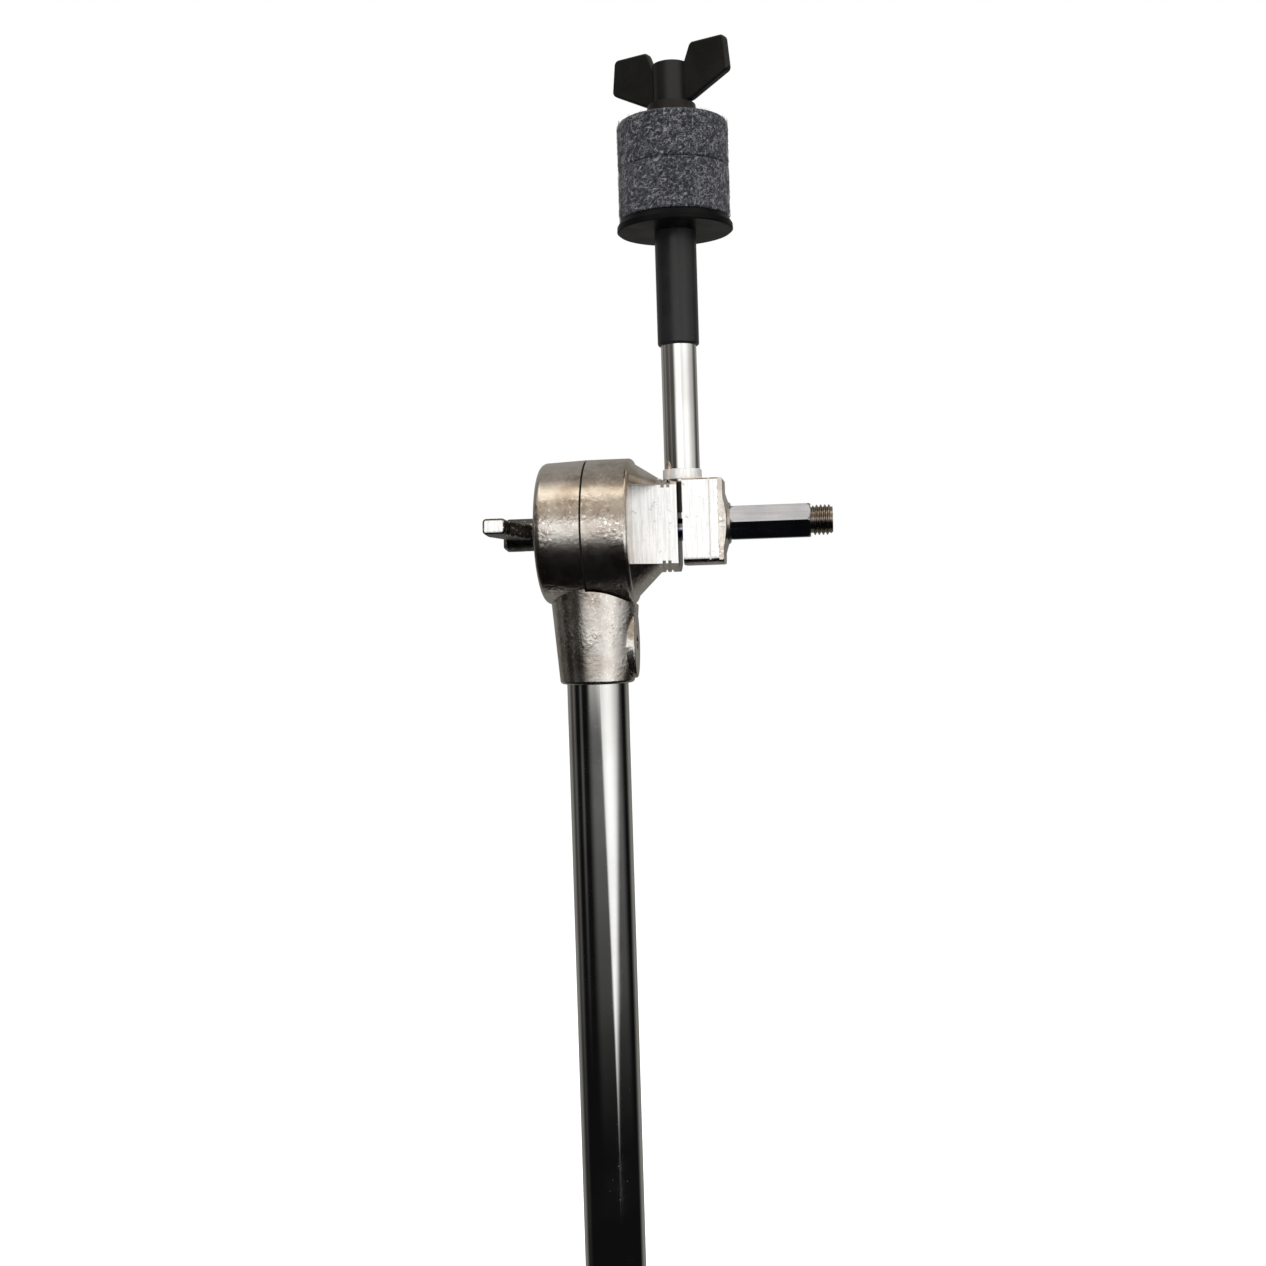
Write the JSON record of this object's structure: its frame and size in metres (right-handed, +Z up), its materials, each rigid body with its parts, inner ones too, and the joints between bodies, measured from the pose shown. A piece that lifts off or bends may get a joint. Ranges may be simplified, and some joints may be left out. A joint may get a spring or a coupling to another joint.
{
  "type": "cymbal boom stand",
  "caption": "Telescoping tripod stand with a friction tilter, a split post clamp with a hex accessory stud, and a cymbal post with sleeve, felts and wing nut.",
  "frame": {"origin": "on the floor, on the axis of the tubes, at the underside of the rubber cap on the lower tube", "axes": "+Z up along the tubes, +X along the tilter's axis from the wing nut to the hex stud, +Y away from the clamp screws"},
  "size_m": [0.5762, 0.4991, 0.9861],
  "materials": {
    "chrome_plate": "polished chrome plate",
    "leg_steel": "chrome-plated steel strip",
    "tilter_casting": "nickel-plated casting, ground flats",
    "clamp_casting": "satin plated casting",
    "plated_steel": "plated turned steel",
    "screw_casting": "dark plated casting",
    "spring_steel": "oiled spring wire",
    "black_plastic": "satin moulded black",
    "sleeve_plastic": "matt charcoal tube",
    "nylon": "moulded nylon",
    "felt": "dark blue-grey pressed wool felt",
    "foot_rubber": "moulded rubber"
  },
  "bodies": {
    "base": {"lower_tube": "chrome_plate", "tube_end_cap": "foot_rubber", "lower_clamp": "clamp_casting", "lower_clamp_nut": "plated_steel", "stay_collar": "clamp_casting"},
    "lower_screw": {"lower_clamp_wing_screw": "screw_casting"},
    "middle_swivel": {"lower_clamp_bush": "nylon"},
    "middle_section": {"middle_tube": "chrome_plate", "upper_clamp": "clamp_casting", "upper_clamp_nut": "plated_steel"},
    "upper_screw": {"upper_clamp_wing_screw": "screw_casting"},
    "upper_swivel": {"upper_clamp_bush": "nylon"},
    "upper_section": {"upper_tube": "chrome_plate", "tilter_socket": "tilter_casting", "socket_set_screw": "plated_steel", "tilter_washer": "plated_steel", "tilter_spring": "spring_steel"},
    "tilter_nut": {"tilter_wing_nut": "screw_casting"},
    "tilter_head": {"tilter_arm": "tilter_casting", "friction_disc": "nylon", "cymbal_post": "chrome_plate", "post_collar": "tilter_casting", "post_sleeve": "sleeve_plastic", "seat_washer": "black_plastic", "lower_felt": "felt"},
    "clamp_jaw": {"clamp_cap": "tilter_casting", "hex_stud": "plated_steel", "draw_bolt": "plated_steel"},
    "felt_top": {"upper_felt": "felt"},
    "post_nut": {"wing_nut": "black_plastic", "wing_nut_insert": "plated_steel"},
    "leg_slider": {"leg_collar": "clamp_casting", "leg_collar_rivets": "plated_steel"},
    "leg_screw": {"leg_collar_wing_screw": "screw_casting"},
    "leg_1": {"leg_1_left": "leg_steel", "leg_1_right": "leg_steel", "knee_rivet_1": "plated_steel", "leg_spacer_1": "plated_steel", "foot_1": "foot_rubber"},
    "stay_1": {"stay_1_left": "leg_steel", "stay_1_right": "leg_steel", "stay_rivets_1": "plated_steel"},
    "leg_2": {"leg_2_left": "leg_steel", "leg_2_right": "leg_steel", "knee_rivet_2": "plated_steel", "leg_spacer_2": "plated_steel", "foot_2": "foot_rubber"},
    "stay_2": {"stay_2_left": "leg_steel", "stay_2_right": "leg_steel", "stay_rivets_2": "plated_steel"},
    "leg_3": {"leg_3_left": "leg_steel", "leg_3_right": "leg_steel", "knee_rivet_3": "plated_steel", "leg_spacer_3": "plated_steel", "foot_3": "foot_rubber"},
    "stay_3": {"stay_3_left": "leg_steel", "stay_3_right": "leg_steel", "stay_rivets_3": "plated_steel"}
  },
  "joints": [
    {"name": "lower_clamp_screw_turn", "type": "hinge", "parent": "base", "child": "lower_screw", "pos_m": [0, -0.026, 0.462], "axis": [-1, 0, 0], "range_deg": [0, 540]},
    {"name": "middle_tube_swivel", "type": "hinge", "parent": "base", "child": "middle_swivel", "pos_m": [0, 0, 0.44], "axis": [0, 0, 1], "continuous": true},
    {"name": "middle_tube_height", "type": "slide", "parent": "middle_swivel", "child": "middle_section", "axis": [0, 0, 1], "range_m": [-0.01, 0.3]},
    {"name": "upper_clamp_screw_turn", "type": "hinge", "parent": "middle_section", "child": "upper_screw", "pos_m": [0, -0.0244, 0.522], "axis": [-1, 0, 0], "range_deg": [0, 540]},
    {"name": "upper_tube_swivel", "type": "hinge", "parent": "middle_section", "child": "upper_swivel", "pos_m": [0, 0, 0.5], "axis": [0, 0, 1], "continuous": true},
    {"name": "upper_tube_height", "type": "slide", "parent": "upper_swivel", "child": "upper_section", "axis": [0, 0, 1], "range_m": [-0.195, 0.16]},
    {"name": "tilter_tilt", "type": "hinge", "parent": "upper_section", "child": "tilter_head", "pos_m": [0, 0, 0.815], "axis": [1, 0, 0], "range_deg": [-130, 130]},
    {"name": "tilter_nut_turn", "type": "hinge", "parent": "upper_section", "child": "tilter_nut", "pos_m": [-0.018, 0, 0.815], "axis": [-1, 0, 0], "range_deg": [0, 432]},
    {"name": "clamp_open", "type": "slide", "parent": "tilter_head", "child": "clamp_jaw", "axis": [1, 0, 0], "range_m": [0, 0.0015]},
    {"name": "upper_felt_lift", "type": "slide", "parent": "tilter_head", "child": "felt_top", "axis": [0, 0, 1], "range_m": [0, 0.008]},
    {"name": "wing_nut_turn", "type": "hinge", "parent": "felt_top", "child": "post_nut", "pos_m": [0.0329, 0, 0.965], "axis": [0, 0, 1], "range_deg": [0, 2304]},
    {"name": "leg_slider_height", "type": "slide", "parent": "base", "child": "leg_slider", "axis": [0, 0, 1], "range_m": [0, 0.12547]},
    {"name": "leg_screw_turn", "type": "hinge", "parent": "leg_slider", "child": "leg_screw", "pos_m": [-0.02338, -0.0135, 0.25607], "axis": [-0.866, -0.5, 0], "range_deg": [0, 540]},
    {"name": "leg_1_fold", "type": "hinge", "parent": "leg_slider", "child": "leg_1", "pos_m": [0.02252, 0.013, 0.24307], "axis": [-0.5, 0.866, 0], "range_deg": [0, 48.85]},
    {"name": "stay_1_fold", "type": "hinge", "parent": "leg_1", "child": "stay_1", "pos_m": [0.13481, 0.07783, 0.14104], "axis": [-0.5, 0.866, 0], "range_deg": [-97.7, 0]},
    {"name": "leg_2_fold", "type": "hinge", "parent": "leg_slider", "child": "leg_2", "pos_m": [-0.02252, 0.013, 0.24307], "axis": [-0.5, -0.866, 0], "range_deg": [0, 48.85]},
    {"name": "stay_2_fold", "type": "hinge", "parent": "leg_2", "child": "stay_2", "pos_m": [-0.13481, 0.07783, 0.14104], "axis": [-0.5, -0.866, 0], "range_deg": [-97.7, 0]},
    {"name": "leg_3_fold", "type": "hinge", "parent": "leg_slider", "child": "leg_3", "pos_m": [0, -0.026, 0.24307], "axis": [1, 0, 0], "range_deg": [0, 48.85]},
    {"name": "stay_3_fold", "type": "hinge", "parent": "leg_3", "child": "stay_3", "pos_m": [0, -0.15567, 0.14104], "axis": [1, 0, 0], "range_deg": [-97.7, 0]}
  ],
  "couplings": [
    {"joint": "clamp_open", "follows": "tilter_nut_turn", "m_per_rad": 0.00019894},
    {"joint": "upper_felt_lift", "follows": "wing_nut_turn", "m_per_rad": 0.00019894},
    {"joint": "leg_1_fold", "follows": "leg_slider_height", "rad_per_m": 6.7881},
    {"joint": "stay_1_fold", "follows": "leg_slider_height", "rad_per_m": -13.576},
    {"joint": "leg_2_fold", "follows": "leg_slider_height", "rad_per_m": 6.7881},
    {"joint": "stay_2_fold", "follows": "leg_slider_height", "rad_per_m": -13.576},
    {"joint": "leg_3_fold", "follows": "leg_slider_height", "rad_per_m": 6.7881},
    {"joint": "stay_3_fold", "follows": "leg_slider_height", "rad_per_m": -13.576}
  ]
}
